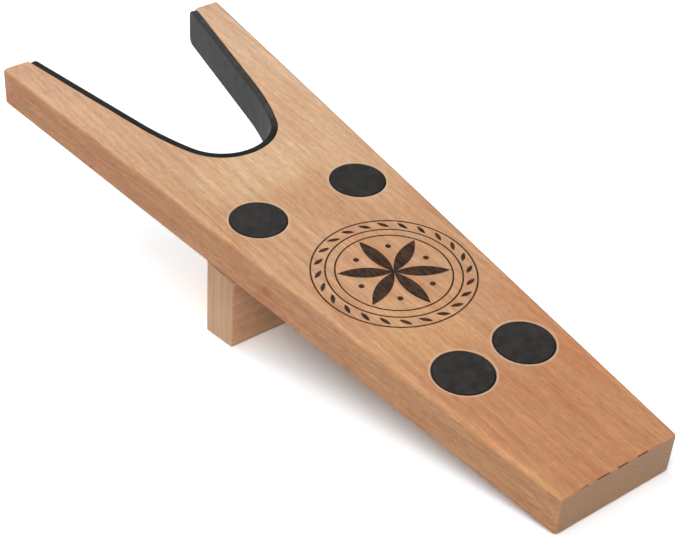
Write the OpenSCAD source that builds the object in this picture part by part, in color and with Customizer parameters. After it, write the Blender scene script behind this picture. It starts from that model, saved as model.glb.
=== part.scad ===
// Wooden boot jack: a tapered board with a rubber-lined heel notch, raised on a foot block.
//
// The pieces are drawn on the board lying flat: x runs across, y from the toe's end to the
// arm tips, and z from the underside at 0 to the top face. on_floor() then tilts them all, so
// that the toe's lower edge and the foot block rest on the floor at z = 0.

/* [Board] */
// Length of the board, from the toe's end to the arm tips
board_length = 340; // [320:1:370]
// Width across the arm tips
tip_width = 118; // [114:1:130]
// Width across the toe
toe_width = 56; // [46:1:70]
// Thickness of the board
board_thickness = 19; // [16:0.5:24]
// Angle of the board above the floor
board_tilt = 11.3; // [9:0.1:15]
// Rounding of the board's outer edges
edge_round = 2; // [0.5:0.1:2.8]
// Rounding of the toe's top edge
toe_top_round = 0.9; // [0.5:0.1:2.8]
// Plan radius of the two corners at the toe
toe_corner = 2.2; // [1:0.1:10]
// Plan radius of the outer corners at the arm tips
tip_corner = 2.2; // [1:0.1:6]

/* [Heel notch] */
// Depth of the notch, from the arm tips to its floor
notch_depth = 117; // [105:1:125]
// Radius of the notch's round floor
floor_radius = 25; // [21:0.5:28]
// Angle below the cross line at which the floor runs into a flank
floor_turn = 22; // [17:0.5:30]
// Radius of each bowed flank
flank_radius = 160; // [100:5:220]
// Angle of each straight wall from the centre line
wall_angle = 11.2; // [8:0.2:13]

/* [Notch liner] */
// Thickness of the rubber liner
liner_thickness = 3; // [2:0.25:5]
// How far the liner's ends stay behind the arm tips
liner_setback = 0.5; // [0.4:0.1:4]

/* [Grip pads] */
// Diameter of a pad
pad_diameter = 24; // [16:0.5:28]
// Thickness of a pad
pad_thickness = 3; // [2:0.25:5]
// Rounding of a pad's top rim
pad_rim = 0.4; // [0.2:0.1:1]
// Distance of the upper pads from the toe's end
upper_pad_y = 182.5; // [165:0.5:195]
// Distance between the centres of the upper pads
upper_pad_spacing = 51; // [36:0.5:54]
// Distance of the lower pads from the toe's end
lower_pad_y = 66.5; // [45:0.5:90]
// Distance between the centres of the lower pads
lower_pad_spacing = 30; // [29:0.5:36]
// Gap between a pad's side and its pocket
pad_gap = 0.15; // [0.05:0.05:0.4]

/* [Foot block] */
// Thickness of the block, along the board
block_thickness = 19; // [14:0.5:30]
// How far each end of the block stays inside the board's sides
block_inset = 0.2; // [0:0.1:10]
// Rounding of the block's upright edges
block_round = 1; // [0.5:0.25:3]

/* [Screws] */
// Length of a screw
screw_length = 40; // [28:1:44]
// Diameter of a screw's plain shank
shank_diameter = 4; // [3:0.25:5]
// Diameter of the core inside a screw's thread
core_diameter = 2.8; // [2:0.1:2.9]
// Diameter of a screw's countersunk head
head_diameter = 8; // [6:0.25:10]
// Depth of the cross recess in a screw's head
recess_depth = 1.8; // [1:0.1:2.2]
// Gap round a screw in the board and in the block
screw_gap = 0.2; // [0.1:0.05:0.4]

/* [Hidden] */

// Colours of the pieces
wood_colour = "burlywood";
block_colour = "tan";
liner_colour = "dimgray";
pad_colour = "darkslategray";
screw_colour = "silver";

// Glue behind the liner and under the pads
glue_line = 0.1;
// How far a cutting shape runs past the face that it cuts
cut_past = 1;
// How far two stretches of the notch's outline run into each other where they are tangent
seam = 0.2;
// Steps of a full circle, of the discs at the board's corners, and of a rounded edge
circle_steps = 96;
corner_steps = 32;
edge_steps = 6;
$fn = circle_steps;

// Thickness of a corner's disc, and the least radius of a corner that is drawn in
disc_height = 0.01;
sharpest = 0.05;

// The board's taper: the lean of each long side, and a side's distance from the centre line
side_lean = atan((tip_width - toe_width) / 2 / board_length);
function side_x(y) = toe_width / 2 + y * tan(side_lean);

// How far a rounded edge draws the outline in, at a depth below the face, and the depths of
// its steps
function inset(depth, rounding) =
    depth < rounding ? rounding - sqrt(rounding ^ 2 - (rounding - depth) ^ 2) : 0;
function edge_depths(rounding) =
    [for (step = [0:edge_steps]) rounding * (1 - sin(90 * step / edge_steps))];

// The notch: centre of the floor's arc, and of the right-hand flank's arc, which meets the
// floor's arc where both point floor_turn below the cross line
floor_y = board_length - notch_depth + floor_radius;
flank_x = (floor_radius - flank_radius) * cos(floor_turn);
flank_y = floor_y + (flank_radius - floor_radius) * sin(floor_turn);

// Lowest point of the toe's rounded lower edge, and the ends of the whole part along y,
// once the board is tilted
toe_drop = edge_round * (sin(board_tilt) + cos(board_tilt) - 1);
toe_end = toe_top_round * (cos(board_tilt) - 1)
    - (board_thickness - toe_top_round) * sin(board_tilt);
tip_end = (board_length - edge_round) * cos(board_tilt) + edge_round * (1 - sin(board_tilt));

// The pads' pockets, the foot block under the upper pads, and its greatest depth
pocket_depth = pad_thickness + glue_line;
pocket_floor = board_thickness - pocket_depth;
block_y = upper_pad_y;
block_length = 2 * (side_x(block_y) - block_inset);
block_reach = (block_y + block_thickness) * tan(board_tilt);

// A screw's head is a cone of 90 degrees, and its point a slim cone
head_height = (head_diameter - shank_diameter) / 2;
head_land = 0.3;
point_length = 2 * core_diameter;
recess_width = 0.9;
recess_span = head_diameter / 2;

// Tilts what is drawn on the flat board, and centres the part over the origin
module on_floor() {
    translate([0, -(toe_end + tip_end) / 2, -toe_drop])
        rotate([board_tilt, 0, 0])
            children();
}

// Repeats a shape at both sides of the centre line
module both_sides(spacing, y) {
    for (side = [-1, 1])
        translate([side * spacing / 2, y, 0])
            children();
}

// The notch's outline, drawn in from the wood by a distance: 0 at the wood itself.
// A round floor runs into two bowed flanks, and these into straight walls.
module notch_outline(inset) {
    floor_r = floor_radius - inset;
    flank_r = flank_radius - inset;
    low_y = floor_y - floor_r * sin(floor_turn);
    high_y = flank_y - flank_r * sin(wall_angle);
    high_x = flank_x + flank_r * cos(wall_angle);
    wall_x = high_x - seam * tan(wall_angle);
    mouth_y = board_length + cut_past;
    mouth_x = high_x + (mouth_y - high_y) * tan(wall_angle);
    translate([0, floor_y])
        circle(floor_r);
    intersection() {
        translate([flank_x, flank_y])
            circle(flank_r, $fn = 8 * circle_steps);
        translate([-flank_x, flank_y])
            circle(flank_r, $fn = 8 * circle_steps);
        translate([-tip_width / 2, low_y - seam])
            square([tip_width, high_y - low_y + seam]);
    }
    polygon([
        [-wall_x, high_y - seam],
        [wall_x, high_y - seam],
        [mouth_x, mouth_y],
        [-mouth_x, mouth_y]
    ]);
}

// A pair of corners of the board's outline, as thin discs from z upwards, where the outline
// is drawn in from its long sides and from an end. step_in is 1 at the toe and -1 at the tips.
module corner_pair(end_y, step_in, corner, side_inset, end_inset, z) {
    radius = max(corner - side_inset, sharpest);
    y = end_y + step_in * (end_inset + radius);
    x = side_x(y) - (side_inset + radius) / cos(side_lean);
    for (side = [-1, 1])
        translate([side * x, y, z])
            cylinder(r = radius, h = disc_height, $fn = corner_steps);
}

// The tapered board with all its outer edges rounded, before anything is cut. The toe's top
// edge has a rounding of its own.
module board_blank() {
    hull() {
        for (depth = concat(edge_depths(edge_round), edge_depths(toe_top_round))) {
            z = board_thickness - depth - disc_height;
            drawn = inset(depth, edge_round);
            corner_pair(0, 1, toe_corner, drawn, inset(depth, toe_top_round), z);
            corner_pair(board_length, -1, tip_corner, drawn, drawn, z);
        }
        for (depth = edge_depths(edge_round)) {
            drawn = inset(depth, edge_round);
            corner_pair(0, 1, toe_corner, drawn, drawn, depth);
            corner_pair(board_length, -1, tip_corner, drawn, drawn, depth);
        }
    }
}

// A pad's round pocket in the top face
module pad_pocket() {
    translate([0, 0, pocket_floor])
        cylinder(d = pad_diameter + 2 * pad_gap, h = pocket_depth + cut_past);
}

// A screw's clearance hole through the board, countersunk in the pocket's floor
module screw_hole() {
    hole_d = shank_diameter + 2 * screw_gap;
    sink_d = head_diameter + 2 * screw_gap;
    sink_height = (sink_d - hole_d) / 2;
    translate([0, 0, -cut_past])
        cylinder(d = hole_d, h = pocket_floor + 2 * cut_past);
    translate([0, 0, pocket_floor - head_land - sink_height])
        cylinder(d1 = hole_d, d2 = sink_d, h = sink_height);
    translate([0, 0, pocket_floor - head_land])
        cylinder(d = sink_d, h = head_land + cut_past);
}

module board() {
    color(wood_colour)
        on_floor()
            difference() {
                board_blank();
                translate([0, 0, -cut_past])
                    linear_extrude(board_thickness + 2 * cut_past)
                        notch_outline(0);
                both_sides(upper_pad_spacing, upper_pad_y)
                    pad_pocket();
                both_sides(lower_pad_spacing, lower_pad_y)
                    pad_pocket();
                both_sides(upper_pad_spacing, upper_pad_y)
                    screw_hole();
            }
}

// Plan of the foot block: a rectangle whose corners are rounded
module block_plan() {
    centre_x = block_length / 2 - block_round;
    centre_y = block_thickness / 2 - block_round;
    square([2 * centre_x, block_thickness], center = true);
    square([block_length, 2 * centre_y], center = true);
    for (x = [-centre_x, centre_x], y = [-centre_y, centre_y])
        translate([x, y])
            circle(block_round);
}

// The block stands square to the board's underside, and its foot is cut along the floor
module foot_block() {
    bore_depth = screw_length - pocket_floor + cut_past;
    bore_d = core_diameter + 2 * screw_gap;
    color(block_colour)
        difference() {
            on_floor()
                difference() {
                    translate([0, block_y, -block_reach])
                        linear_extrude(block_reach)
                            block_plan();
                    both_sides(upper_pad_spacing, upper_pad_y)
                        translate([0, 0, -bore_depth])
                            cylinder(d = bore_d, h = bore_depth + cut_past);
                }
            translate([-block_length, -board_length, -2 * block_reach])
                cube([2 * block_length, 2 * board_length, 2 * block_reach]);
        }
}

// The rubber strip bent round the notch: the space between two outlines of the notch
module notch_liner() {
    color(liner_colour)
        on_floor()
            linear_extrude(board_thickness)
                difference() {
                    intersection() {
                        notch_outline(glue_line);
                        translate([-tip_width / 2, 0])
                            square([tip_width, board_length - liner_setback]);
                    }
                    notch_outline(glue_line + liner_thickness);
                }
}

// A round rubber pad with a softened top rim, flush with the board's top face
module grip_pad() {
    translate([0, 0, board_thickness - pad_thickness])
        rotate_extrude() {
            square([pad_diameter / 2 - pad_rim, pad_thickness]);
            square([pad_diameter / 2, pad_thickness - pad_rim]);
            translate([pad_diameter / 2 - pad_rim, pad_thickness - pad_rim])
                circle(pad_rim);
        }
}

module upper_pad(side) {
    color(pad_colour)
        on_floor()
            translate([side * upper_pad_spacing / 2, upper_pad_y, 0])
                grip_pad();
}

module lower_pad(side) {
    color(pad_colour)
        on_floor()
            translate([side * lower_pad_spacing / 2, lower_pad_y, 0])
                grip_pad();
}

// A countersunk wood screw, head up at z = 0, with its thread shown as the plain core
module wood_screw() {
    difference() {
        rotate_extrude()
            polygon([
                [0, 0],
                [head_diameter / 2, 0],
                [head_diameter / 2, -head_land],
                [shank_diameter / 2, -head_land - head_height],
                [shank_diameter / 2, -pocket_floor],
                [core_diameter / 2, -pocket_floor],
                [core_diameter / 2, point_length - screw_length],
                [0, -screw_length]
            ]);
        for (turn = [0, 90])
            rotate([0, 0, turn])
                translate([-recess_span / 2, -recess_width / 2, -recess_depth])
                    cube([recess_span, recess_width, recess_depth + cut_past]);
    }
}

module block_screws() {
    color(screw_colour)
        on_floor()
            both_sides(upper_pad_spacing, upper_pad_y)
                translate([0, 0, pocket_floor])
                    wood_screw();
}

board();
foot_block();
notch_liner();
upper_pad(-1);  // pad_upper_left
upper_pad(1);  // pad_upper_right
lower_pad(-1);  // pad_lower_left
lower_pad(1);  // pad_lower_right
block_screws();
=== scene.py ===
# Looks of a wooden boot jack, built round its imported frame.
#
# Shapes are drawn in millimetres on the board lying flat: x runs across, s along the board
# from the toe's end, and n up from its underside. PLACE tilts them on to the floor in metres.
import math

import bmesh
import bpy
from mathutils import Euler, Matrix, Vector, noise
from mathutils.geometry import tessellate_polygon


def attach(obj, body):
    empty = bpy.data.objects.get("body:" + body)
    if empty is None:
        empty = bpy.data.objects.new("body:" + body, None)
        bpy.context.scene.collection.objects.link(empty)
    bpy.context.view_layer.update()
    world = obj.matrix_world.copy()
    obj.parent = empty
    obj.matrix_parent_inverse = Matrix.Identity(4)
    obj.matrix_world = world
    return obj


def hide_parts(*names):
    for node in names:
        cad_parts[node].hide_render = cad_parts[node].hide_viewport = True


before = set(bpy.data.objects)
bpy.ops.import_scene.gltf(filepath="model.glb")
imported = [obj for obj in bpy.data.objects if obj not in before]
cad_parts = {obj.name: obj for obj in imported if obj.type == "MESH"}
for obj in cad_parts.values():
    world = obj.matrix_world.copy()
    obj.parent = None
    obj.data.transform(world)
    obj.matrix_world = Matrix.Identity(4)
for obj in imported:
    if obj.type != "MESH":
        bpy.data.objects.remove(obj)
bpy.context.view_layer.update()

# Sizes of the part, in millimetres, the same as in its source
BOARD_LENGTH = 340
TIP_WIDTH = 118
TOE_WIDTH = 56
THICKNESS = 19
TILT = math.radians(11.3)
EDGE_ROUND = 2
TOE_TOP_ROUND = 0.9
TOE_CORNER = 2.2
TIP_CORNER = 2.2
NOTCH_DEPTH = 117
FLOOR_RADIUS = 25
FLOOR_TURN = math.radians(22)
FLANK_RADIUS = 160
WALL_ANGLE = math.radians(11.2)
LINER_THICKNESS = 3
LINER_SETBACK = 0.5
GLUE_LINE = 0.1
PAD_DIAMETER = 24
PAD_THICKNESS = 3
PAD_GAP = 0.15
UPPER_PAD_S = 182.5
UPPER_PAD_SPACING = 51
LOWER_PAD_S = 66.5
LOWER_PAD_SPACING = 30
BLOCK_THICKNESS = 19
BLOCK_INSET = 0.2
BLOCK_ROUND = 1
SCREW_LENGTH = 40
SHANK_DIAMETER = 4
CORE_DIAMETER = 2.8
HEAD_DIAMETER = 8
HEAD_LAND = 0.3
SCREW_GAP = 0.2

# Finer shapes that only show here
NOTCH_EDGE_ROUND = 0.3
MOUTH_CORNER = 0.8
POCKET_EDGE_ROUND = 0.2
LINER_EDGE_ROUND = 0.45
LINER_END_ROUND = 3.6
PAD_RIM_ROUND = 0.45
BLOCK_FOOT_ROUND = 0.5
SUPPORT = 0.4
SHARPEST = 0.05
WORN = 0.3
MARK_S = 126.0
MARK_TOP = THICKNESS + 0.03
MARK_DEPTH = 0.08
MARK_RADIUS = 33.0
BORDER_RADIUS = 27.2
ROSETTE_RADIUS = 22.5
MARK_LINE = 0.7
DOT_RADIUS = 1.2
LEAF_LENGTH = 5.6
LEAF_WIDTH = 1.8
LEAF_TURN = math.radians(58)
PETALS = 6
LEAVES = 24
PETAL_STEPS = 25
MERGE = 0.001
THREAD_PITCH = 1.8
THREAD_START = 0.8
THREAD_TOP = 1.0
ROUND_STEPS = 10
CIRCLE_STEPS = 96
SHARP_ANGLE = math.radians(32)

# Colours of the wood, as the light leaves them
TOE_TONE = (0.605, 0.297, 0.151)
MIDDLE_TONE = (0.708, 0.420, 0.240)
TIP_TONE = (0.755, 0.470, 0.290)
# Tones for the long sides, times the top's colour: partly the sides' own colour, partly painted shade towards
# the arms and painted light at the toe
TOE_SIDE = (1.04, 1.10, 1.06)
MIDDLE_SIDE = (0.93, 0.82, 0.73)
TIP_SIDE = (0.86, 0.67, 0.51)
END_TONE = (0.445, 0.250, 0.136)
BLOCK_TONE = (0.73, 0.445, 0.272)
BLOCK_END_TONE = (0.73, 0.455, 0.265)
BURNISH_TONE = (0.15, 0.045, 0.018)
LINER_TONE = (0.060, 0.0595, 0.0595)
PAD_TONE = (0.030, 0.0280, 0.0265)
KNOT_S = 153

# Growth rings of the two woods: their width, and how far off their pith lies in x and n
BOARD_RINGS = (3.4, 9.0, -46.0)
BLOCK_RINGS = (3.0, 180.0, -60.0)

# Places on the top face: centre and half size in x, s and n (0 is no limit), strength, shade
TOP_SPOTS = (
    ((42, 262, 19), (62, 120, 0), 1.0, (1.14, 1.24, 1.32)),
    ((-8, 213, 19), (34, 24, 0), 1.0, (1.12, 1.28, 1.34)),
    ((-14, 92, 19), (30, 28, 0), 1.0, (1.08, 1.13, 1.06)),
    ((27, 62, 19), (9, 40, 0), 0.6, (1.0, 0.84, 0.76)),
)

# The studio: its floor as light and as the camera sees it, its world, and its lamps, each with
# its place, what it looks at, its width, its height and its power
FLOOR_HALF = 4.0
FLOOR_LIGHT = 0.58
FLOOR_SEEN = (1.36, 1.42, 1.455)
FLOOR_FADE = (0.3, 0.75)
WORLD_LIGHT = 0.03
LAMPS = (
    ("overhead", (0, 0, 1.3), (0, 0, 0), 1.3, 1.3, 3.5),
    ("overhead_left", (-0.45, 0, 1.2), (0, 0, 0), 0.6, 0.6, 2.3),
    ("left_front", (-0.8, -0.8, 0.9), (0, 0, 0), 0.8, 0.8, 8.4),
    ("front", (0, -1.1, 0.9), (0, 0, 0), 0.8, 0.8, 6.0),
    ("back", (0, 1.1, 0.9), (0, 0, 0), 0.8, 0.8, 4.6),
    ("back_low", (0, 1.3, 0.35), (0, 0, 0), 1.0, 0.5, 6.8),
    ("back_strip", (0, 1.5, 0.12), (0, 0, 0.12), 1.6, 0.22, 8.0),
)

# Worked out from the sizes above
SIDE_LEAN = math.atan((TIP_WIDTH - TOE_WIDTH) / 2 / BOARD_LENGTH)
FLOOR_S = BOARD_LENGTH - NOTCH_DEPTH + FLOOR_RADIUS
FLANK_X = (FLOOR_RADIUS - FLANK_RADIUS) * math.cos(FLOOR_TURN)
FLANK_S = FLOOR_S + (FLANK_RADIUS - FLOOR_RADIUS) * math.sin(FLOOR_TURN)
POCKET_FLOOR = THICKNESS - PAD_THICKNESS - GLUE_LINE
POCKET_RADIUS = PAD_DIAMETER / 2 + PAD_GAP
TOE_DROP = EDGE_ROUND * (math.sin(TILT) + math.cos(TILT) - 1)
TOE_END = TOE_TOP_ROUND * (math.cos(TILT) - 1) - (THICKNESS - TOE_TOP_ROUND) * math.sin(TILT)
TIP_END = (BOARD_LENGTH - EDGE_ROUND) * math.cos(TILT) + EDGE_ROUND * (1 - math.sin(TILT))

# From the flat board in millimetres to the floor in metres
MOVE = Vector((0, -(TOE_END + TIP_END) / 2, -TOE_DROP)) / 1000
PLACE = Matrix.Translation(MOVE) @ Matrix.Rotation(TILT, 4, "X") @ Matrix.Scale(0.001, 4)


def side_x(s):
    """Distance of the board's long side from the centre line."""
    return TOE_WIDTH / 2 + s * math.tan(SIDE_LEAN)


def floor_n(s, z=0.0):
    """Height on the board's own axis of a point that is z above the floor."""
    return (z + TOE_DROP - s * math.sin(TILT)) / math.cos(TILT)


def arc(centre, radius, start, end, steps):
    """Points of an arc in the plan, without its first one."""
    turns = [start + (end - start) * i / steps for i in range(1, steps + 1)]
    return [(centre[0] + radius * math.cos(t), centre[1] + radius * math.sin(t)) for t in turns]


def line(start, end, steps):
    """Points of a straight stretch in the plan, without its first one."""
    shares = [i / steps for i in range(1, steps + 1)]
    return [tuple(a + (b - a) * share for a, b in zip(start, end)) for share in shares]


def circle(centre, radius, n):
    """A ring of points round an upright axis."""
    turns = [2 * math.pi * i / CIRCLE_STEPS for i in range(CIRCLE_STEPS)]
    return [(centre[0] + radius * math.cos(t), centre[1] + radius * math.sin(t), n) for t in turns]


def quarter(steps=ROUND_STEPS):
    """Angles of a quarter turn, from 0 to 90 degrees."""
    return [math.pi / 2 * i / steps for i in range(steps + 1)]


class Skin:
    """Rings of points and the faces between them, which close into one mesh."""

    def __init__(self):
        self.points = []
        self.faces = []

    def ring(self, points):
        """Adds a ring and returns where its points are."""
        first = len(self.points)
        self.points.extend(points)
        return list(range(first, len(self.points)))

    def band(self, lower, upper):
        """Joins two rings of the same count with four-sided faces."""
        count = len(lower)
        for i in range(count):
            j = (i + 1) % count
            self.faces.append((lower[i], lower[j], upper[j], upper[i]))

    def stack(self, rings):
        """Adds rings one after another, joins them and returns the first and the last."""
        made = [self.ring(points) for points in rings]
        for lower, upper in zip(made, made[1:]):
            self.band(lower, upper)
        return made[0], made[-1]

    def cap(self, *rings):
        """Fills a flat face inside the first ring and outside the others."""
        loops = [[Vector(self.points[i]) for i in ring] for ring in rings]
        flat = [i for ring in rings for i in ring]
        for corners in tessellate_polygon(loops):
            self.faces.append(tuple(flat[c] for c in corners))

    def mesh(self, name):
        """The closed mesh on the floor, in metres, with its faces turned outwards."""
        shape = bmesh.new()
        verts = [shape.verts.new(PLACE @ Vector(p)) for p in self.points]
        for face in self.faces:
            shape.faces.new([verts[i] for i in face])
        bmesh.ops.recalc_face_normals(shape, faces=shape.faces)
        mesh = bpy.data.meshes.new(name)
        shape.to_mesh(mesh)
        shape.free()
        return mesh


def smooth(mesh, sharp=SHARP_ANGLE):
    """Smooth shading that still breaks at edges sharper than an angle."""
    mesh.polygons.foreach_set("use_smooth", [True] * len(mesh.polygons))
    mesh.set_sharp_from_angle(angle=sharp)


def link(obj):
    """Puts an object into the scene."""
    bpy.context.scene.collection.objects.link(obj)


def piece(name, mesh, material, slot, *nodes):
    """Links a finished piece into the scene and ties it to the frame."""
    smooth(mesh)
    mesh.materials.clear()
    mesh.materials.append(material)
    obj = bpy.data.objects.new(name, mesh)
    link(obj)
    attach(obj, "root")
    if nodes:
        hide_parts(*nodes)
    return obj


# Nodes of materials and of Geometry Nodes trees

def add(tree, kind, inputs=None, **settings):
    """Adds a node, sets it, and links or fills its inputs."""
    node = tree.nodes.new(kind)
    for key, value in settings.items():
        setattr(node, key, value)
    for key, value in (inputs or {}).items():
        if isinstance(value, bpy.types.NodeSocket):
            tree.links.new(value, node.inputs[key])
        else:
            node.inputs[key].default_value = value
    return node


def calc(tree, operation, a, b=0.0, c=0.0, clamp=False):
    """One step of arithmetic."""
    node = add(tree, "ShaderNodeMath", {0: a, 1: b, 2: c}, operation=operation, use_clamp=clamp)
    return node.outputs[0]


def times(tree, product, *factors):
    """Values multiplied together, from left to right."""
    for factor in factors:
        product = calc(tree, "MULTIPLY", product, factor)
    return product


def minus(tree, a, b):
    """One value less another."""
    return calc(tree, "SUBTRACT", a, b)


def span(tree, value, low, high, to_low=0.0, to_high=1.0):
    """Takes a value from one range to another with soft ends."""
    inputs = {"Value": value, "From Min": low, "From Max": high, "To Min": to_low, "To Max": to_high}
    node = add(tree, "ShaderNodeMapRange", inputs, interpolation_type="SMOOTHSTEP")
    return node.outputs["Result"]


def blend(tree, share, a, b, how="MIX"):
    """Mixes two colours."""
    node = add(tree, "ShaderNodeMix", data_type="RGBA", blend_type=how)
    for key, value in ((0, share), (6, a), (7, b)):
        if isinstance(value, bpy.types.NodeSocket):
            tree.links.new(value, node.inputs[key])
        elif key == 0:
            node.inputs[key].default_value = value
        else:
            node.inputs[key].default_value = (*value, 1.0)
    return node.outputs[2]


def tint(tree, share, colour, shade):
    """Multiplies a colour by a shade, as far as a share says."""
    return blend(tree, share, colour, shade, "MULTIPLY")


def tones(tree, share, *stops):
    """A run of colours along a share from 0 to 1, each stop being its place and its colour."""
    node = add(tree, "ShaderNodeValToRGB", {0: share})
    ramp = node.color_ramp
    ramp.interpolation = "EASE"
    for i, (place, colour) in enumerate(stops):
        stop = ramp.elements[i] if i < 2 else ramp.elements.new(place)
        stop.position = place
        stop.color = (*colour, 1.0)
    return node.outputs["Color"]


def grey(tree, light):
    """A brightness as a colour."""
    return add(tree, "ShaderNodeCombineColor", {0: light, 1: light, 2: light}).outputs[0]


def spot(tree, along, centre, size):
    """1 at a place in the board's x, s and n, fading to 0 at the ends of an oval of a size."""
    total = 0.0
    for i, key in enumerate("XYZ"):
        if size[i]:
            off = calc(tree, "DIVIDE", minus(tree, along.outputs[key], centre[i]), size[i])
            total = calc(tree, "ADD", total, calc(tree, "POWER", off, 2.0))
    return span(tree, total, 1.0, 0.0)


def cloud(tree, where, stretch, detail=2.0, rough=0.5, distortion=0.0, offset=(0, 0, 0)):
    """Noise whose grains are as long as stretch says, in millimetres."""
    scale = tuple(1 / length for length in stretch)
    moved = add(tree, "ShaderNodeMapping", {"Vector": where, "Scale": scale, "Location": offset})
    inputs = {
        "Vector": moved.outputs[0],
        "Scale": 1.0,
        "Detail": detail,
        "Roughness": rough,
        "Distortion": distortion,
    }
    return add(tree, "ShaderNodeTexNoise", inputs).outputs["Fac"]


def board_axes(tree):
    """Object coordinates turned to the flat board's x, s and n, in millimetres."""
    place = PLACE.inverted()
    inputs = {
        "Vector": add(tree, "ShaderNodeTexCoord").outputs["Object"],
        "Scale": (1000, 1000, 1000),
        "Rotation": (-TILT, 0, 0),
        "Location": place.translation,
    }
    return add(tree, "ShaderNodeMapping", inputs).outputs[0]


def facing(tree, axis):
    """How squarely a face looks along one of the flat board's axes, from -1 to 1."""
    normal = add(tree, "ShaderNodeTexCoord").outputs["Normal"]
    inputs = {0: normal, 1: PLACE.to_3x3().normalized() @ Vector(axis)}
    return add(tree, "ShaderNodeVectorMath", inputs, operation="DOT_PRODUCT").outputs["Value"]


def square_on(tree, axis, low):
    """1 on faces that look along an axis, either way, and 0 on those below a share of it."""
    return span(tree, calc(tree, "ABSOLUTE", facing(tree, axis)), low, 0.95)


def from_pads(tree, along):
    """Distance from the centre of the nearest pad."""
    off_x = calc(tree, "ABSOLUTE", along.outputs["X"])
    nearest = BOARD_LENGTH
    for s, spacing in ((UPPER_PAD_S, UPPER_PAD_SPACING), (LOWER_PAD_S, LOWER_PAD_SPACING)):
        across = calc(tree, "POWER", minus(tree, off_x, spacing / 2), 2.0)
        lengthways = calc(tree, "POWER", minus(tree, along.outputs["Y"], s), 2.0)
        away = calc(tree, "SQRT", calc(tree, "ADD", across, lengthways))
        nearest = calc(tree, "MINIMUM", away, nearest)
    return nearest


def bare_tree(owner):
    """The node tree of a material or a world, emptied."""
    owner.use_nodes = True
    owner.node_tree.nodes.clear()
    return owner.node_tree


def new_material(name):
    """An empty material with its output and a plain surface shader."""
    material = bpy.data.materials.new(name)
    tree = bare_tree(material)
    surface = add(tree, "ShaderNodeBsdfPrincipled")
    add(tree, "ShaderNodeOutputMaterial", {"Surface": surface.outputs[0]})
    return material, tree, surface


def dress(tree, surface, colour, roughness, sheen):
    """Gives a surface its colour, roughness and sheen."""
    tree.links.new(colour, surface.inputs["Base Color"])
    tree.links.new(roughness, surface.inputs["Roughness"])
    surface.inputs["Specular IOR Level"].default_value = sheen


def bumps(tree, surface, height, distance):
    """Fine relief from a height, in metres."""
    node = add(tree, "ShaderNodeBump", {"Height": height, "Distance": distance, "Strength": 1.0})
    tree.links.new(node.outputs[0], surface.inputs["Normal"])


def wood_base(tree, where, colour, rings):
    """Growth rings, patches, streaks, fibres and pores over a wood's own colour."""
    fibre = cloud(tree, where, (0.50, 9, 0.50), 4.0, 0.70)

    # Faint growth rings round the pith, drawn out along the board
    width, pith_x, pith_n = rings
    centred = add(tree, "ShaderNodeMapping", {
        "Vector": where,
        "Location": (-pith_x / width, 0, -pith_n / width),
        "Scale": (1 / width, 0.010, 1 / width),
    })
    ring = add(tree, "ShaderNodeTexWave", {
        "Vector": centred.outputs[0],
        "Scale": 0.5,
        "Distortion": 3.0,
        "Detail": 2.0,
        "Detail Scale": 0.30,
        "Detail Roughness": 0.6,
    }, wave_type="RINGS", rings_direction="Y", wave_profile="SIN")
    late = times(tree, span(tree, ring.outputs["Fac"], 0.3, 1.0), 0.28)
    colour = tint(tree, late, colour, (0.88, 0.79, 0.72))

    # Broad patches, some redder and some paler
    red = span(tree, cloud(tree, where, (13, 40, 13), 3.0, 0.55, 0.6), 0.46, 0.72)
    colour = tint(tree, times(tree, red, 0.75), colour, (0.95, 0.83, 0.77))
    pale = span(tree, cloud(tree, where, (9, 30, 9), 3.0, 0.5, 0.4, (5.3, 2.9, 8.1)), 0.48, 0.74)
    colour = tint(tree, times(tree, pale, 0.75), colour, (1.08, 1.10, 1.13))
    curl = cloud(tree, where, (2.2, 3.4, 2.2), 3.0, 0.6, 0.8, (2.2, 6.1, 4.4))
    colour = tint(tree, 1.0, colour, grey(tree, span(tree, curl, 0.3, 0.7, 0.955, 1.045)))

    # Long streaks, fibres and short dark ticks
    streak = cloud(tree, where, (2.4, 75, 2.4), 3.0, 0.6, 0.4, (3.1, 7.7, 1.9))
    warm = times(tree, span(tree, streak, 0.62, 0.42), 0.55)
    colour = tint(tree, warm, colour, (0.95, 0.86, 0.80))
    streak = span(tree, streak, 0.3, 0.7, -0.05, 0.05)
    light = calc(tree, "ADD", span(tree, fibre, 0.25, 0.75, 0.83, 1.16), streak)
    colour = tint(tree, 1.0, colour, grey(tree, light))
    tick = span(tree, cloud(tree, where, (0.55, 3.0, 0.55), 2.0, 0.55, 0.0, (1.3, 0.4, 6.2)), 0.54, 0.70)
    colour = tint(tree, times(tree, tick, 0.36), colour, (0.78, 0.64, 0.54))
    return colour, fibre, tick


def wood_finish(tree, surface, colour, fibre, tick):
    """Puts the colour on the surface, with the sheen and the relief of oiled wood."""
    dress(tree, surface, colour, span(tree, fibre, 0.2, 0.8, 0.60, 0.48), 0.3)
    height = minus(tree, times(tree, fibre, 0.6), times(tree, tick, 0.6))
    bumps(tree, surface, height, 0.00012)


def end_grain(tree, where, colour, tone):
    """Greyer, speckled end grain where a face looks along the grain."""
    end = square_on(tree, (0, 1, 0), 0.55)
    speck = span(tree, cloud(tree, where, (0.9, 3, 0.7), 4.0, 0.75), 0.3, 0.7, 0.78, 1.20)
    return blend(tree, end, colour, tint(tree, 1.0, tone, grey(tree, speck)))


def spotted(tree, along, colour):
    """Paler and redder places on the board's top face."""
    for centre, size, strength, shade in TOP_SPOTS:
        share = times(tree, spot(tree, along, centre, size), strength)
        colour = tint(tree, share, colour, shade)
    return colour


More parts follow.
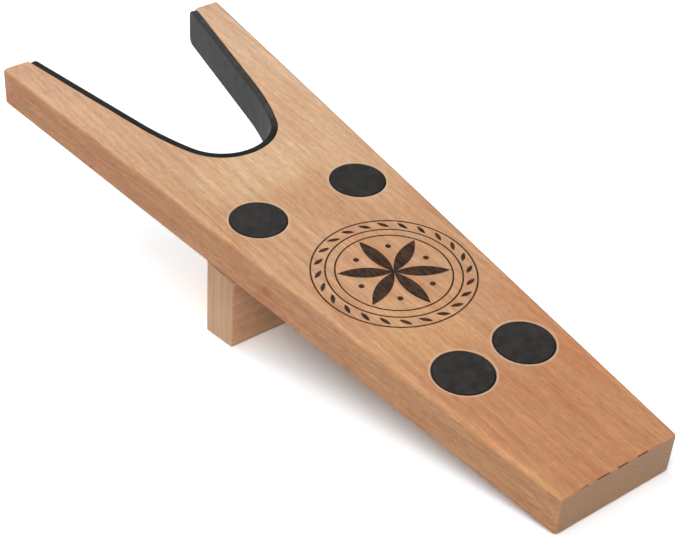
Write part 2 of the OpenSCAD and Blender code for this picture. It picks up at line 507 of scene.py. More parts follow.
def worn_and_highlit_edges(tree, along, colour):
    """Paler edges along both long sides of the top face, near the toe: partly wear, partly a painted
    highlight.
    """
    edge_x = calc(tree, "MULTIPLY_ADD", along.outputs["Y"], math.tan(SIDE_LEAN), TOE_WIDTH / 2)
    inside = minus(tree, edge_x, calc(tree, "ABSOLUTE", along.outputs["X"]))
    edge = span(tree, inside, 4.5, 1.2)
    near_toe = span(tree, along.outputs["Y"], 120, 10)
    on_top = span(tree, along.outputs["Z"], THICKNESS - 3, THICKNESS - 1)
    return tint(tree, times(tree, edge, near_toe, on_top, 0.8), colour, (1.15, 1.20, 1.15))


def pocket_rim_highlights(tree, along, colour):
    """A painted highlight in a ring round each pocket, on the top face only."""
    off_rim = minus(tree, from_pads(tree, along), POCKET_RADIUS + 0.4)
    rim_highlight = span(tree, calc(tree, "ABSOLUTE", off_rim), 0.75, 0.15)
    on_top = span(tree, along.outputs["Z"], THICKNESS - 1, THICKNESS - 0.3)
    return blend(tree, times(tree, rim_highlight, on_top, 0.5), colour, (0.80, 0.60, 0.44))


def side_figure(tree, along, turned, colour):
    """A pointed pair of grain lines on the left side at the toe, and a knot fleck further up."""
    middle = calc(tree, "ABSOLUTE", minus(tree, along.outputs["Z"], 9.0))
    spread = calc(tree, "MULTIPLY_ADD", along.outputs["Y"], -0.30, middle)
    vein = span(tree, calc(tree, "ABSOLUTE", calc(tree, "ADD", spread, 0.9)), 0.55, 0.1)
    vein = times(tree, vein, spot(tree, along, (-30, 13, 9), (0, 15, 8)))
    fleck = spot(tree, along, (-43, KNOT_S, 9), (0, 4.2, 3.2))
    flush = spot(tree, along, (-42, KNOT_S, 6), (0, 34, 8))
    for mark, strength, shade in (
        (vein, 0.7, (0.80, 0.68, 0.60)),
        (fleck, 0.8, (0.80, 0.56, 0.45)),
        (flush, 0.7, (0.99, 0.87, 0.81)),
    ):
        colour = tint(tree, times(tree, mark, turned, strength), colour, shade)
    return colour


def burnished_edge(tree, where, along, colour):
    """A broken dark line where the toe's top edge is burnished."""
    edge = spot(tree, along, (-1, 0.22, THICKNESS - 0.2), (24, 0.42, 0.42))
    wave = calc(tree, "SINE", calc(tree, "MULTIPLY_ADD", along.outputs["X"], 0.66, 0.9))
    rough = minus(tree, cloud(tree, where, (3.0, 30, 30), 3.0, 0.7), 0.5)
    rough = times(tree, rough, 4.0)
    broken = span(tree, calc(tree, "ADD", wave, rough), -0.45, 0.15)
    dark = times(tree, span(tree, edge, 0.02, 0.3), broken, 0.9)
    return blend(tree, dark, colour, BURNISH_TONE)


def board_material():
    """The board's oiled wood: paler at the arms, redder at the toe, duller on its sides, partly as painted
    light and shade.
    """
    material, tree, surface = new_material("oiled_board")
    where = board_axes(tree)
    along = add(tree, "ShaderNodeSeparateXYZ", {"Vector": where})
    share = calc(tree, "DIVIDE", along.outputs["Y"], BOARD_LENGTH)
    drift = minus(tree, cloud(tree, where, (40, 110, 40), 2.0, 0.5), 0.5)
    share = calc(tree, "MULTIPLY_ADD", drift, 0.35, share, clamp=True)
    top = tones(tree, share, (0.08, TOE_TONE), (0.95, TIP_TONE), (0.50, MIDDLE_TONE))
    side = tones(tree, share, (0.08, TOE_SIDE), (0.85, TIP_SIDE), (0.45, MIDDLE_SIDE))
    turned = square_on(tree, (1, 0, 0), 0.45)
    # The sides' own tones, partly painted light and shade
    colour = blend(tree, turned, top, tint(tree, 1.0, top, side))
    colour, fibre, tick = wood_base(tree, where, colour, BOARD_RINGS)
    colour = spotted(tree, along, colour)
    # Partly wear, partly a painted highlight along the top edges near the toe
    colour = worn_and_highlit_edges(tree, along, colour)
    # A painted highlight round each pocket's rim
    colour = pocket_rim_highlights(tree, along, colour)
    colour = side_figure(tree, along, turned, colour)
    colour = end_grain(tree, where, colour, END_TONE)
    colour = burnished_edge(tree, where, along, colour)
    wood_finish(tree, surface, colour, fibre, tick)
    return material


def block_material():
    """The foot block's wood, with its grain across the part and plainer than the board's."""
    material, tree, surface = new_material("oiled_block")
    where = board_axes(tree)
    turned = add(tree, "ShaderNodeMapping", {"Vector": where, "Rotation": (0, 0, math.pi / 2)}).outputs[0]
    colour, fibre, tick = wood_base(tree, turned, BLOCK_TONE, BLOCK_RINGS)

    # Upright light and dark bands on the ends, where the growth rings come out
    along = add(tree, "ShaderNodeSeparateXYZ", {"Vector": where})
    end = square_on(tree, (1, 0, 0), 0.55)
    band = cloud(tree, where, (60, 2.6, 60), 2.0, 0.5)
    band = tint(tree, 1.0, BLOCK_END_TONE, grey(tree, span(tree, band, 0.3, 0.7, 0.86, 1.10)))
    colour = blend(tree, end, colour, band)

    # Painted shade: a little darker towards the joint with the board, where the board shades the block
    under_board_shade = times(tree, span(tree, along.outputs["Z"], -26, -2), 0.8)
    colour = tint(tree, under_board_shade, colour, (0.86, 0.78, 0.75))
    wood_finish(tree, surface, colour, fibre, tick)
    return material


def rubber_material(name, tone, grain, sheen, edge):
    """Matt rubber with a fine moulded grain, faint grey dust and darker edges, which are mostly painted
    shade.
    """
    material, tree, surface = new_material(name)
    where = board_axes(tree)
    mottle = cloud(tree, where, (5, 5, 5), 5.0, 0.7)
    dust = cloud(tree, where, (0.5, 0.5, 0.5), 2.0, 0.6)
    light = calc(tree, "ADD", span(tree, mottle, 0.3, 0.7, 0.60, 1.35), span(tree, dust, 0.55, 0.8, 0.0, 0.3))
    colour = tint(tree, 1.0, tone, grey(tree, light))
    # Darker edges from the mask, mostly painted shade
    colour = tint(tree, edge(tree, where), colour, (0.35, 0.33, 0.30))
    dress(tree, surface, colour, span(tree, mottle, 0.3, 0.7, 0.62, 0.74), sheen)
    bumps(tree, surface, cloud(tree, where, (grain, grain, grain), 2.0, 0.6), 0.00006)
    return material


def liner_edge(tree, where):
    """Where the strip is darker: its cut edges, and painted shade in bands beside them; on the right arm the
    cut edges are spared, a painted highlight.
    """
    along = add(tree, "ShaderNodeSeparateXYZ", {"Vector": where})
    off_middle = calc(tree, "ABSOLUTE", minus(tree, along.outputs["Z"], THICKNESS / 2))
    # Painted shade in bands along the strip's top and bottom
    band = span(tree, off_middle, THICKNESS / 2 - 1.6, THICKNESS / 2 - 0.3, 0.0, 0.75)
    level = calc(tree, "ABSOLUTE", facing(tree, (0, 0, 1)))
    cut = span(tree, level, 0.3, 0.8)
    # A painted highlight: the darkening is taken off the right arm's cut edges
    painted_highlight = times(tree, span(tree, along.outputs["X"], 16, 26), span(tree, level, 0.9, 0.98))
    return times(tree, calc(tree, "MAXIMUM", band, cut), minus(tree, 1.0, painted_highlight))


def pad_edge(tree, where):
    """The rim of each pad, where painted shade from the gap round the pad goes."""
    along = add(tree, "ShaderNodeSeparateXYZ", {"Vector": where})
    return span(tree, from_pads(tree, along), PAD_DIAMETER / 2 - 1.0, PAD_DIAMETER / 2 - 0.3)


def burnt_material():
    """Wood burnt dark brown, a little uneven, with the fibres still showing."""
    material, tree, surface = new_material("burnt_marking")
    where = board_axes(tree)
    uneven = span(tree, cloud(tree, where, (1.5, 5, 1.5), 3.0, 0.6), 0.3, 0.7)
    colour = blend(tree, uneven, (0.030, 0.016, 0.010), (0.085, 0.045, 0.026))
    dress(tree, surface, colour, span(tree, uneven, 0.0, 1.0, 0.75, 0.6), 0.2)
    bumps(tree, surface, cloud(tree, where, (0.5, 9, 0.5), 4.0, 0.7), 0.00008)
    return material


def steel_material():
    """Zinc-plated steel, with fine scratches and a faint yellow cast."""
    material, tree, surface = new_material("zinc_steel")
    where = board_axes(tree)
    film = cloud(tree, where, (1.2, 1.2, 1.2), 3.0, 0.6)
    colour = blend(tree, film, (0.60, 0.59, 0.56), (0.72, 0.71, 0.66))
    dress(tree, surface, colour, span(tree, film, 0.3, 0.7, 0.28, 0.42), 0.5)
    surface.inputs["Metallic"].default_value = 1.0
    bumps(tree, surface, cloud(tree, where, (0.15, 0.15, 3), 2.0, 0.6), 0.00002)
    return material


# Outlines in the plan

def notch_side(inset, floor_steps=20, flank_steps=10, wall_steps=12):
    """Right half of the notch's outline, from the middle of its floor to the arm's tip."""
    floor_r = FLOOR_RADIUS - inset
    flank_r = FLANK_RADIUS - inset
    points = [(0, FLOOR_S - floor_r)]
    points += arc((0, FLOOR_S), floor_r, -math.pi / 2, -FLOOR_TURN, floor_steps)
    points += arc((FLANK_X, FLANK_S), flank_r, -FLOOR_TURN, -WALL_ANGLE, flank_steps)
    top = points[-1]
    mouth = (top[0] + (BOARD_LENGTH - top[1]) * math.tan(WALL_ANGLE), BOARD_LENGTH)
    return points + line(top, mouth, wall_steps)


def notch_path(inset):
    """The whole notch from its left end to its right one."""
    right = notch_side(inset)
    left = [(-x, s) for x, s in reversed(right[1:])]
    return left + right


def board_half(side, toe, tip, wall):
    """Right half of the board's outline, each of its edges drawn in by its own distance."""
    notch = notch_side(-wall)
    mouth = notch[-1]
    radius = max(MOUTH_CORNER - wall, SHARPEST)
    s = BOARD_LENGTH - tip - radius
    x = mouth[0] - (BOARD_LENGTH - s) * math.tan(WALL_ANGLE) + radius / math.cos(WALL_ANGLE)
    points = notch[:-2] + arc((x, s), radius, math.pi - WALL_ANGLE, math.pi / 2, 6)

    radius = max(TIP_CORNER - side, SHARPEST)
    s = BOARD_LENGTH - tip - radius
    x = side_x(s) - (side + radius) / math.cos(SIDE_LEAN)
    points += line(points[-1], (x, s + radius), 6)
    points += arc((x, s), radius, math.pi / 2, -SIDE_LEAN, 10)

    radius = max(TOE_CORNER - side, SHARPEST)
    s = toe + radius
    x = side_x(s) - (side + radius) / math.cos(SIDE_LEAN)
    start = (x + radius * math.cos(SIDE_LEAN), s - radius * math.sin(SIDE_LEAN))
    points += line(points[-1], start, 60)
    points += arc((x, s), radius, -SIDE_LEAN, -math.pi / 2, 12)
    return points + line(points[-1], (0, toe), 8)


def whole(half):
    """A half outline and its mirror image, as one ring."""
    return half + [(-x, s) for x, s in reversed(half[1:-1])]


def drawn_in(depth, rounding):
    """How far a rounded edge lies inside the outline, at a depth below the face."""
    left = max(rounding - depth, 0)
    return rounding - math.sqrt(rounding ** 2 - left ** 2)


def inward(points):
    """For each point of a clockwise outline, the move that draws it in by one."""
    moves = []
    count = len(points)
    for i, point in enumerate(points):
        before = Vector(point) - Vector(points[i - 1])
        after = Vector(points[(i + 1) % count]) - Vector(point)
        first = Vector((before.y, -before.x)).normalized()
        second = Vector((after.y, -after.x)).normalized()
        moves.append((first + second) / (1 + first.dot(second)))
    return moves


# The board

def pocket_rings(centre):
    """A pad's pocket, from the top face to its floor."""
    rings = [circle(centre, POCKET_RADIUS + POCKET_EDGE_ROUND + SUPPORT, THICKNESS)]
    for turn in reversed(quarter(4)):
        radius = POCKET_RADIUS + POCKET_EDGE_ROUND * (1 - math.cos(turn))
        height = THICKNESS - POCKET_EDGE_ROUND * (1 - math.sin(turn))
        rings.append(circle(centre, radius, height))
    rings.append(circle(centre, POCKET_RADIUS, POCKET_FLOOR))
    return rings


def screw_rings(centre):
    """A screw's countersunk hole, from the pocket's floor to the underside."""
    hole = SHANK_DIAMETER / 2 + SCREW_GAP
    sink = HEAD_DIAMETER / 2 + SCREW_GAP
    land = POCKET_FLOOR - HEAD_LAND
    return [
        circle(centre, sink, POCKET_FLOOR),
        circle(centre, sink, land),
        circle(centre, hole, land - (sink - hole)),
        circle(centre, hole, 0),
    ]


def edge_depths(*roundings):
    """Depths below a face at which rounded edges get a ring, from the face downwards."""
    steps = [r * (1 - math.sin(turn)) for r in roundings for turn in quarter()]
    depths = []
    for depth in sorted(steps):
        if not depths or depth - depths[-1] > 0.004:
            depths.append(depth)
    return depths + [max(roundings) + SUPPORT]


def wear(x, s):
    """How far the top edge is worn in at a place, fading out towards the corners."""
    corners = ((side_x(0), 0), (side_x(BOARD_LENGTH), BOARD_LENGTH))
    near = min(math.hypot(abs(x) - cx, s - cs) for cx, cs in corners)
    patchy = noise.noise(Vector((x / 17, s / 13, 0.5))) + 0.4 * noise.noise(Vector((x / 4, s / 4, 2.5)))
    return WORN * min(1, max(0, near - 4) / 20) * max(0, 0.35 + patchy)


def board_mesh():
    """The board: rounded round its outline, with its notch, pockets and screw holes."""
    moves = inward(whole(board_half(0, 0, 0, 0)))

    def rim(depth, toe_round, extra=0.0):
        """The board's outline at a depth below a face."""
        side = drawn_in(depth, EDGE_ROUND) + extra
        toe = drawn_in(depth, toe_round) + extra
        return whole(board_half(side, toe, side, drawn_in(depth, NOTCH_EDGE_ROUND) + extra))

    def worn_rim(depth):
        """The upper rim at a depth, worn in the more the nearer it is to the top face."""
        share = drawn_in(depth, EDGE_ROUND) / EDGE_ROUND
        points = []
        for (x, s), move in zip(rim(depth, TOE_TOP_ROUND), moves):
            back = wear(x, s) * share
            points.append((x + move.x * back, s + move.y * back, THICKNESS - depth))
        return points

    lower = edge_depths(EDGE_ROUND, NOTCH_EDGE_ROUND)
    upper = edge_depths(EDGE_ROUND, TOE_TOP_ROUND, NOTCH_EDGE_ROUND)
    skin = Skin()
    rings = [[(x, s, 0.0) for x, s in rim(0, EDGE_ROUND, SUPPORT)]]
    for depth in lower:
        rings.append([(x, s, depth) for x, s in rim(depth, EDGE_ROUND)])
    for depth in reversed(upper):
        rings.append(worn_rim(depth))
    rings.append([(x, s, THICKNESS) for x, s in rim(0, TOE_TOP_ROUND, SUPPORT + WORN)])
    bottom, top = skin.stack(rings)

    tops = []
    bottoms = []
    for side in (-1, 1):
        centre = (side * UPPER_PAD_SPACING / 2, UPPER_PAD_S)
        opening, ledge = skin.stack(pocket_rings(centre))
        sink, out = skin.stack(screw_rings(centre))
        skin.band(ledge, sink)
        tops.append(opening)
        bottoms.append(out)
        centre = (side * LOWER_PAD_SPACING / 2, LOWER_PAD_S)
        opening, ledge = skin.stack(pocket_rings(centre))
        skin.cap(ledge)
        tops.append(opening)
    skin.cap(top, *tops)
    skin.cap(bottom, *bottoms)
    return skin.mesh("board")


# The foot block

def block_plan():
    """The block's rectangle with rounded corners, clockwise from the left."""
    half = side_x(UPPER_PAD_S) - BLOCK_INSET
    points = []
    for i, (sx, sy) in enumerate(((-1, 1), (1, 1), (1, -1), (-1, -1))):
        centre = (sx * (half - BLOCK_ROUND), UPPER_PAD_S + sy * (BLOCK_THICKNESS / 2 - BLOCK_ROUND))
        start = math.pi - i * math.pi / 2
        first = (centre[0] + BLOCK_ROUND * math.cos(start), centre[1] + BLOCK_ROUND * math.sin(start))
        points += [first] + arc(centre, BLOCK_ROUND, start, start - math.pi / 2, 8)
    return points


def block_mesh():
    """The block, square under the board, with its foot cut along the floor and eased."""
    plan = block_plan()
    moves = inward(plan)

    def ring(inset, height):
        """Points of the plan drawn in, at a height that may follow the floor."""
        drawn = [(p[0] + m.x * inset, p[1] + m.y * inset) for p, m in zip(plan, moves)]
        return [(x, s, height(s)) for x, s in drawn]

    rings = [ring(BLOCK_FOOT_ROUND + SUPPORT, floor_n)]
    for turn in reversed(quarter(6)):
        lift = BLOCK_FOOT_ROUND * (1 - math.sin(turn))
        rings.append(ring(BLOCK_FOOT_ROUND * (1 - math.cos(turn)), lambda s, z=lift: floor_n(s, z)))
    rings.append(ring(0, lambda s: floor_n(s, BLOCK_FOOT_ROUND + SUPPORT)))
    rings.append(ring(0, lambda s: -SUPPORT))
    rings.append(ring(0, lambda s: 0.0))
    skin = Skin()
    foot, top = skin.stack(rings)
    skin.cap(foot)
    bores = []
    bore = CORE_DIAMETER / 2 + SCREW_GAP
    depth = SCREW_LENGTH - POCKET_FLOOR + 1
    for side in (-1, 1):
        centre = (side * UPPER_PAD_SPACING / 2, UPPER_PAD_S)
        opening, end = skin.stack([circle(centre, bore, 0), circle(centre, bore, -depth)])
        skin.cap(end)
        bores.append(opening)
    skin.cap(top, *bores)
    return skin.mesh("foot_block")


# The pads

def pad_mesh(name, centre):
    """A round pad, flush with the top face, with a softened rim."""
    radius = PAD_DIAMETER / 2
    low = THICKNESS - PAD_THICKNESS
    rings = [circle(centre, radius - SUPPORT, low), circle(centre, radius, low)]
    for turn in quarter(6):
        inset = PAD_RIM_ROUND * (1 - math.cos(turn))
        height = THICKNESS - PAD_RIM_ROUND * (1 - math.sin(turn))
        rings.append(circle(centre, radius - inset, height))
    rings.append(circle(centre, radius - PAD_RIM_ROUND - SUPPORT, THICKNESS))
    skin = Skin()
    under, top = skin.stack(rings)
    skin.cap(under)
    skin.cap(top)
    return skin.mesh(name)


# Pieces that follow a path, made by Geometry Nodes

def new_tree(name, inputs):
    """A Geometry Nodes tree with named inputs, and its two end nodes."""
    tree = bpy.data.node_groups.new(name, "GeometryNodeTree")
    tree.interface.new_socket("Geometry", in_out="INPUT", socket_type="NodeSocketGeometry")
    for label, kind in inputs:
        tree.interface.new_socket(label, in_out="INPUT", socket_type=kind)
    tree.interface.new_socket("Geometry", in_out="OUTPUT", socket_type="NodeSocketGeometry")
    return tree, add(tree, "NodeGroupInput"), add(tree, "NodeGroupOutput")


def grow(tree, kind, inputs=None, **settings):
    """Adds a geometry node and returns its first output."""
    return add(tree, "GeometryNode" + kind, inputs, **settings).outputs[0]


def vector(tree, **parts):
    """A vector from its X, Y and Z, which are 0 where they aren't given."""
    return add(tree, "ShaderNodeCombineXYZ", parts).outputs[0]


def close_tree(tree, end, geometry, material):
    """Ends a tree with Realize Instances and Set Material."""
    real = grow(tree, "RealizeInstances", {"Geometry": geometry})
    dressed = grow(tree, "SetMaterial", {"Geometry": real, "Material": material})
    tree.links.new(dressed, end.inputs["Geometry"])


def coordinates(tree):
    """Where each point is, as its x, y and z."""
    return add(tree, "ShaderNodeSeparateXYZ", {0: grow(tree, "InputPosition")}).outputs


def moved_to(tree, geometry, x, y, z=0.0):
    """Puts each point at new coordinates."""
    return grow(tree, "SetPosition", {"Geometry": geometry, "Position": vector(tree, X=x, Y=y, Z=z)})


def merged(tree, geometry):
    """Joins points that lie in the same place."""
    return grow(tree, "MergeByDistance", {"Geometry": geometry, "Distance": MERGE})


def joined(tree, *parts):
    """Several geometries as one."""
    node = add(tree, "GeometryNodeJoinGeometry")
    for part in parts:
        tree.links.new(part, node.inputs[0])
    return node.outputs[0]


def grown_mesh(name, base, tree, values, shift=Matrix()):
    """Runs a tree on an object with the given inputs and keeps the result as a mesh."""
    obj = bpy.data.objects.new(name + "_base", base)
    link(obj)
    modifier = obj.modifiers.new(name, "NODES")
    modifier.node_group = tree
    sockets = {i.name: i.identifier for i in tree.interface.items_tree if i.in_out == "INPUT"}
    for label, value in values.items():
        modifier[sockets[label]] = value
    bpy.context.view_layer.update()
    depsgraph = bpy.context.evaluated_depsgraph_get()
    mesh = bpy.data.meshes.new_from_object(obj.evaluated_get(depsgraph))
    obj.modifiers.remove(modifier)
    bpy.data.objects.remove(obj)
    mesh.name = name
    mesh.transform(PLACE @ shift)
    return mesh


def outward(mesh):
    """Turns every face of a mesh of closed shells outwards."""
    shape = bmesh.new()
    shape.from_mesh(mesh)
    bmesh.ops.recalc_face_normals(shape, faces=shape.faces)
    shape.to_mesh(mesh)
    shape.free()
    return mesh


def path_curve(name, points):
    """An open path of straight steps at the height n = 0, as a curve."""
    curve = bpy.data.curves.new(name, "CURVE")
    curve.dimensions = "3D"
    spline = curve.splines.new("POLY")
    spline.points.add(len(points) - 1)
    for target, (x, s) in zip(spline.points, points):
        target.co = (x, s, 0, 1)
    return curve


def liner_tree(material):
    """A flat strip on edge along a path: its long edges eased and its end corners rounded."""
    tree, start, end = new_tree("edged_strip", [
        ("Thickness", "NodeSocketFloat"),
        ("Height", "NodeSocketFloat"),
        ("Edge round", "NodeSocketFloat"),
        ("End round", "NodeSocketFloat"),
    ])
    put = start.outputs
    fine = grow(tree, "ResampleCurve", {"Curve": put["Geometry"], "Length": 0.4}, mode="LENGTH")
    level = grow(tree, "SetCurveNormal", {"Curve": fine}, mode="Z_UP")

    # Distance of each step of the path from the nearer end
    along = add(tree, "GeometryNodeSplineParameter").outputs["Length"]
    whole = grow(tree, "SplineLength")
    nearer = calc(tree, "MINIMUM", along, minus(tree, whole, along))
    held = add(tree, "GeometryNodeCaptureAttribute", {"Geometry": level}, domain="POINT")
    held.capture_items.new("FLOAT", "reach")
    tree.links.new(nearer, held.inputs["reach"])

    inputs = {"Width": put["Thickness"], "Height": put["Height"]}
    box = grow(tree, "CurvePrimitiveQuadrilateral", inputs)
    eased = grow(tree, "FilletCurve", {
        "Curve": box,
        "Radius": put["Edge round"],
        "Count": 5,
        "Limit Radius": True,
    }, mode="POLY")
    inputs = {"Curve": held.outputs["Geometry"], "Profile Curve": eased, "Fill Caps": True}
    swept = grow(tree, "CurveToMesh", inputs)

    # Near an end the strip's height follows a quarter circle
    radius = put["End round"]
    left = calc(tree, "MAXIMUM", minus(tree, radius, held.outputs["reach"]), 0.0)
    squared = minus(tree, calc(tree, "POWER", radius, 2.0), calc(tree, "POWER", left, 2.0))
    lost = minus(tree, radius, calc(tree, "SQRT", squared))
    half = calc(tree, "DIVIDE", put["Height"], 2.0)
    share = calc(tree, "DIVIDE", minus(tree, half, lost), half)
    x, y, z = coordinates(tree)
    height = calc(tree, "MULTIPLY_ADD", z, share, half)
    close_tree(tree, end, moved_to(tree, swept, x, y, height), material)
    return tree


def liner_mesh(material):
    """The rubber strip bent round the notch."""
    path = notch_path(GLUE_LINE + LINER_THICKNESS / 2)
    pull = LINER_SETBACK / math.cos(WALL_ANGLE)
    for i in (0, -1):
        x, s = path[i]
        path[i] = (x - math.copysign(pull * math.sin(WALL_ANGLE), x), s - pull * math.cos(WALL_ANGLE))
    values = {
        "Thickness": float(LINER_THICKNESS),
        "Height": float(THICKNESS),
        "Edge round": LINER_EDGE_ROUND,
        "End round": LINER_END_ROUND,
    }
    return grown_mesh("notch_liner", path_curve("notch_path", path), liner_tree(material), values)


def thread_tree(material):
    """The thread's ridge on both screws: it thins on the point and runs out below the board."""
    labels = ("Turns", "Height", "Core radius", "Ridge", "Point", "Start", "Run-out", "Spacing")
    tree, start, end = new_tree("screw_thread", [(label, "NodeSocketFloat") for label in labels])
    put = start.outputs
    helix = grow(tree, "CurveSpiral", {
        "Resolution": 24,
        "Rotations": put["Turns"],
        "Start Radius": put["Core radius"],
        "End Radius": put["Core radius"],
        "Height": put["Height"],
    })
    x, y, z = coordinates(tree)
    cone = calc(tree, "DIVIDE", calc(tree, "ADD", z, put["Start"]), put["Point"], clamp=True)
    fade = calc(tree, "DIVIDE", minus(tree, put["Height"], z), put["Run-out"], clamp=True)
    wound = moved_to(tree, helix, times(tree, x, cone), times(tree, y, cone), z)
    level = grow(tree, "SetCurveNormal", {"Curve": wound}, mode="Z_UP")
    width = calc(tree, "MAXIMUM", calc(tree, "MINIMUM", cone, fade), 0.05)
    sized = grow(tree, "SetCurveRadius", {"Curve": level, "Radius": width})
    profile = grow(tree, "CurvePrimitiveCircle", {"Resolution": 4, "Radius": put["Ridge"]})
    inputs = {"Curve": sized, "Profile Curve": profile, "Fill Caps": True}
    ridge = grow(tree, "CurveToMesh", inputs)

    # One copy for each screw, on either side of the middle
    across = times(tree, minus(tree, grow(tree, "InputIndex"), 0.5), put["Spacing"])
    points = grow(tree, "Points", {"Count": 2, "Position": vector(tree, X=across)})
    both = grow(tree, "InstanceOnPoints", {"Points": points, "Instance": ridge})
    close_tree(tree, end, both, material)
    return tree


def thread_mesh(material):
    """The threads of the two screws, from their points to just under the board."""
    tip = POCKET_FLOOR - SCREW_LENGTH
    bottom = tip + THREAD_START
    height = -THREAD_TOP - bottom
    values = {
        "Turns": height / THREAD_PITCH,
        "Height": height,
        "Core radius": CORE_DIAMETER / 2,
        "Ridge": (SHANK_DIAMETER - CORE_DIAMETER) / 2,
        "Point": 2.0 * CORE_DIAMETER,
        "Start": THREAD_START,
        "Run-out": 2.0,
        "Spacing": float(UPPER_PAD_SPACING),
    }
    base = bpy.data.meshes.new("thread_base")
    shift = Matrix.Translation((0, UPPER_PAD_S, bottom))
    return outward(grown_mesh("screw_threads", base, thread_tree(material), values, shift))


# The marking: a compass-drawn rosette in a border of leaves, burnt into the top face

def plate(tree, flat, depth):
    """A flat mesh made into a closed plate of a depth, downwards."""
    inputs = {"Mesh": flat, "Offset": (0, 0, -1), "Offset Scale": depth, "Individual": False}
    body = grow(tree, "ExtrudeMesh", inputs)
    return merged(tree, joined(tree, flat, body))


def lens(tree, length, width):
    """A flat petal with two pointed ends, lying along x."""
    sheet = grow(tree, "MeshGrid", {
        "Size X": length,
        "Size Y": 2.0,
        "Vertices X": PETAL_STEPS,
        "Vertices Y": 3,
    })
    x, y, _ = coordinates(tree)
    along = calc(tree, "DIVIDE", x, times(tree, length, 0.5))
    bow = minus(tree, 1.0, calc(tree, "POWER", calc(tree, "ABSOLUTE", along), 2.0))
    across = times(tree, times(tree, bow, y), times(tree, width, 0.5))
    return merged(tree, moved_to(tree, sheet, x, across))


def hoop(tree, radius, line, depth):
    """A thin closed ring round the centre."""
    path = grow(tree, "CurvePrimitiveCircle", {"Resolution": 128, "Radius": radius})
    box = grow(tree, "CurvePrimitiveQuadrilateral", {"Width": line, "Height": depth})
    level = grow(tree, "SetCurveNormal", {"Curve": path}, mode="Z_UP")
    ring = grow(tree, "CurveToMesh", {"Curve": level, "Profile Curve": box})
    down = vector(tree, Z=times(tree, depth, -0.5))
    return grow(tree, "Transform", {"Geometry": ring, "Translation": down})


def set_out(tree, shape, radius, turned):
    """Turns a shape about itself and moves it out from the centre along x."""
    about = vector(tree, Z=turned)
    away = vector(tree, X=radius)
    return grow(tree, "Transform", {"Geometry": shape, "Rotation": about, "Translation": away})


def round_about(tree, shape, count, start=0.0):
    """Repeats a shape round the centre, from an angle."""
    points = grow(tree, "Points", {"Count": count, "Position": (0, 0, 0)})
    step = calc(tree, "DIVIDE", 2 * math.pi, count)
    about = vector(tree, Z=calc(tree, "MULTIPLY_ADD", grow(tree, "InputIndex"), step, start))
    return grow(tree, "InstanceOnPoints", {"Points": points, "Instance": shape, "Rotation": about})


def marking_tree(material):
    """Rings, petals, dots and border leaves of the marking, round the origin."""
    sizes = ("Outer radius", "Border radius", "Rosette radius", "Petal width", "Dot radius",
             "Leaf length", "Leaf width", "Line", "Depth")
    labels = [(label, "NodeSocketFloat") for label in sizes]
    labels += [("Petals", "NodeSocketInt"), ("Leaves", "NodeSocketInt")]
    tree, start, end = new_tree("marking", labels)
    put = start.outputs
    line, depth = put["Line"], put["Depth"]
    outer, border, rosette = put["Outer radius"], put["Border radius"], put["Rosette radius"]

    rim = calc(tree, "ADD", rosette, times(tree, line, 1.2))
    parts = [hoop(tree, radius, line, depth) for radius in (outer, border, rim)]

    petal = plate(tree, lens(tree, rosette, put["Petal width"]), depth)
    petal = set_out(tree, petal, times(tree, rosette, 0.5), 0.0)
    parts.append(round_about(tree, petal, put["Petals"], math.pi / PETALS))

    inputs = {"Vertices": 24, "Radius": put["Dot radius"]}
    dot = plate(tree, grow(tree, "MeshCircle", inputs, fill_type="NGON"), depth)
    dot = set_out(tree, dot, times(tree, rosette, 0.72), 0.0)
    parts.append(round_about(tree, dot, put["Petals"]))

    leaf = plate(tree, lens(tree, put["Leaf length"], put["Leaf width"]), depth)
    middle = times(tree, calc(tree, "ADD", outer, border), 0.5)
    leaf = set_out(tree, leaf, middle, LEAF_TURN)
    parts.append(round_about(tree, leaf, put["Leaves"]))

    close_tree(tree, end, joined(tree, *parts), material)
    return tree


def marking_mesh(material):
    """The whole marking, a hair proud of the top face at its place on the board."""
    base = bpy.data.meshes.new("marking_base")
    values = {
        "Outer radius": MARK_RADIUS,
        "Border radius": BORDER_RADIUS,
        "Rosette radius": ROSETTE_RADIUS,
        "Petal width": ROSETTE_RADIUS * 2 * (1 - math.cos(math.pi / PETALS)),
        "Dot radius": DOT_RADIUS,
        "Leaf length": LEAF_LENGTH,
        "Leaf width": LEAF_WIDTH,
        "Line": MARK_LINE,
        "Depth": MARK_DEPTH,
        "Petals": PETALS,
        "Leaves": LEAVES,
    }
    shift = Matrix.Translation((0, MARK_S, MARK_TOP))
    return outward(grown_mesh("marking", base, marking_tree(material), values, shift))


# Floor, light and camera

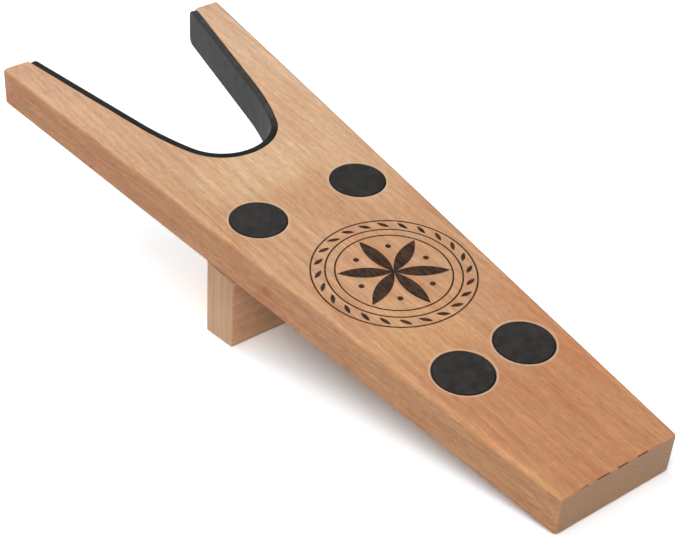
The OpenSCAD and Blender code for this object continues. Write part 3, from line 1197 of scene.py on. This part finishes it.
def stage_floor():
    """A pale floor that keeps the shadow and is white to the camera elsewhere."""
    material = bpy.data.materials.new("studio_floor")
    tree = bare_tree(material)
    rays = add(tree, "ShaderNodeLightPath")
    seen = calc(tree, "ADD", rays.outputs["Is Camera Ray"], rays.outputs["Is Glossy Ray"])
    seen = calc(tree, "ADD", seen, rays.outputs["Is Transmission Ray"], clamp=True)
    matt = add(tree, "ShaderNodeBsdfDiffuse", {"Color": (FLOOR_LIGHT, FLOOR_LIGHT, FLOOR_LIGHT, 1)})
    pale = add(tree, "ShaderNodeBsdfDiffuse", {"Color": (*FLOOR_SEEN, 1)})
    white = add(tree, "ShaderNodeEmission", {"Color": (1, 1, 1, 1), "Strength": 1.0})
    place = add(tree, "ShaderNodeTexCoord").outputs["Object"]
    away = add(tree, "ShaderNodeVectorMath", {0: place}, operation="LENGTH").outputs["Value"]
    far = span(tree, away, *FLOOR_FADE)
    backdrop = add(tree, "ShaderNodeMixShader", {0: far, 1: pale.outputs[0], 2: white.outputs[0]})
    mixed = add(tree, "ShaderNodeMixShader", {0: seen, 1: matt.outputs[0], 2: backdrop.outputs[0]})
    add(tree, "ShaderNodeOutputMaterial", {"Surface": mixed.outputs[0]})

    mesh = bpy.data.meshes.new("floor")
    corners = [(x * FLOOR_HALF, y * FLOOR_HALF, 0) for x, y in ((-1, -1), (1, -1), (1, 1), (-1, 1))]
    mesh.from_pydata(corners, [], [(0, 1, 2, 3)])
    mesh.materials.append(material)
    floor = bpy.data.objects.new("floor", mesh)
    link(floor)


def studio_world(level):
    """Even light from all round, and white where the camera sees past the floor."""
    world = bpy.data.worlds.new("studio")
    tree = bare_tree(world)
    rays = add(tree, "ShaderNodeLightPath")
    seen = calc(tree, "ADD", rays.outputs["Is Camera Ray"], rays.outputs["Is Transmission Ray"], clamp=True)
    dim = add(tree, "ShaderNodeBackground", {"Color": (1, 1, 1, 1), "Strength": level})
    white = add(tree, "ShaderNodeBackground", {"Color": (1, 1, 1, 1), "Strength": 1.0})
    mixed = add(tree, "ShaderNodeMixShader", {0: seen, 1: dim.outputs[0], 2: white.outputs[0]})
    add(tree, "ShaderNodeOutputWorld", {"Surface": mixed.outputs[0]})
    bpy.context.scene.world = world


def soft_lamp(name, place, target, width, height, power):
    """A rectangular soft lamp that looks at a point."""
    data = bpy.data.lights.new(name, "AREA")
    data.shape = "RECTANGLE"
    data.size = width
    data.size_y = height
    data.energy = power
    lamp = bpy.data.objects.new(name, data)
    lamp.location = place
    lamp.rotation_euler = (Vector(target) - Vector(place)).to_track_quat("-Z", "Y").to_euler()
    link(lamp)


def photo_camera():
    """The camera at the photograph's angle, with its off-centre crop."""
    data = bpy.data.cameras.new("camera")
    data.lens = 83.9
    data.sensor_width = 36.0
    data.sensor_fit = "HORIZONTAL"
    data.shift_x = 0.0376
    data.shift_y = -0.0066
    data.clip_start = 0.01
    camera = bpy.data.objects.new("camera", data)
    camera.location = (-0.3257, -0.4732, 0.3571)
    camera.rotation_euler = Euler([math.radians(a) for a in (60.115, 4.044, -36.278)])
    link(camera)
    bpy.context.scene.camera = camera


board_wood = board_material()
block_wood = block_material()
liner_rubber = rubber_material("liner_rubber", LINER_TONE, 0.5, 0.12, liner_edge)
pad_rubber = rubber_material("pad_rubber", PAD_TONE, 0.35, 0.3, pad_edge)
burnt = burnt_material()
steel = steel_material()

piece("board_worn", board_mesh(), board_wood, "board_wood", "board")
piece("foot_block_eased", block_mesh(), block_wood, "block_wood", "foot_block")
piece("notch_liner_strip", liner_mesh(liner_rubber), liner_rubber, "liner_rubber", "notch_liner")
for row, spacing, s in (("upper", UPPER_PAD_SPACING, UPPER_PAD_S), ("lower", LOWER_PAD_SPACING, LOWER_PAD_S)):
    for side, sign in (("left", -1), ("right", 1)):
        node = "pad_" + row + "_" + side
        piece(node + "_disc", pad_mesh(node, (sign * spacing / 2, s)), pad_rubber, "pad_rubber", node)

piece("marking", marking_mesh(burnt), burnt, "board_wood")

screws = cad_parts["block_screws"]
screws.data.materials.clear()
screws.data.materials.append(steel)
piece("screw_threads", thread_mesh(steel), steel, "screw_steel")

stage_floor()
studio_world(WORLD_LIGHT)
for lamp in LAMPS:
    soft_lamp(*lamp)
photo_camera()

scene = bpy.context.scene
scene.view_settings.view_transform = "Standard"
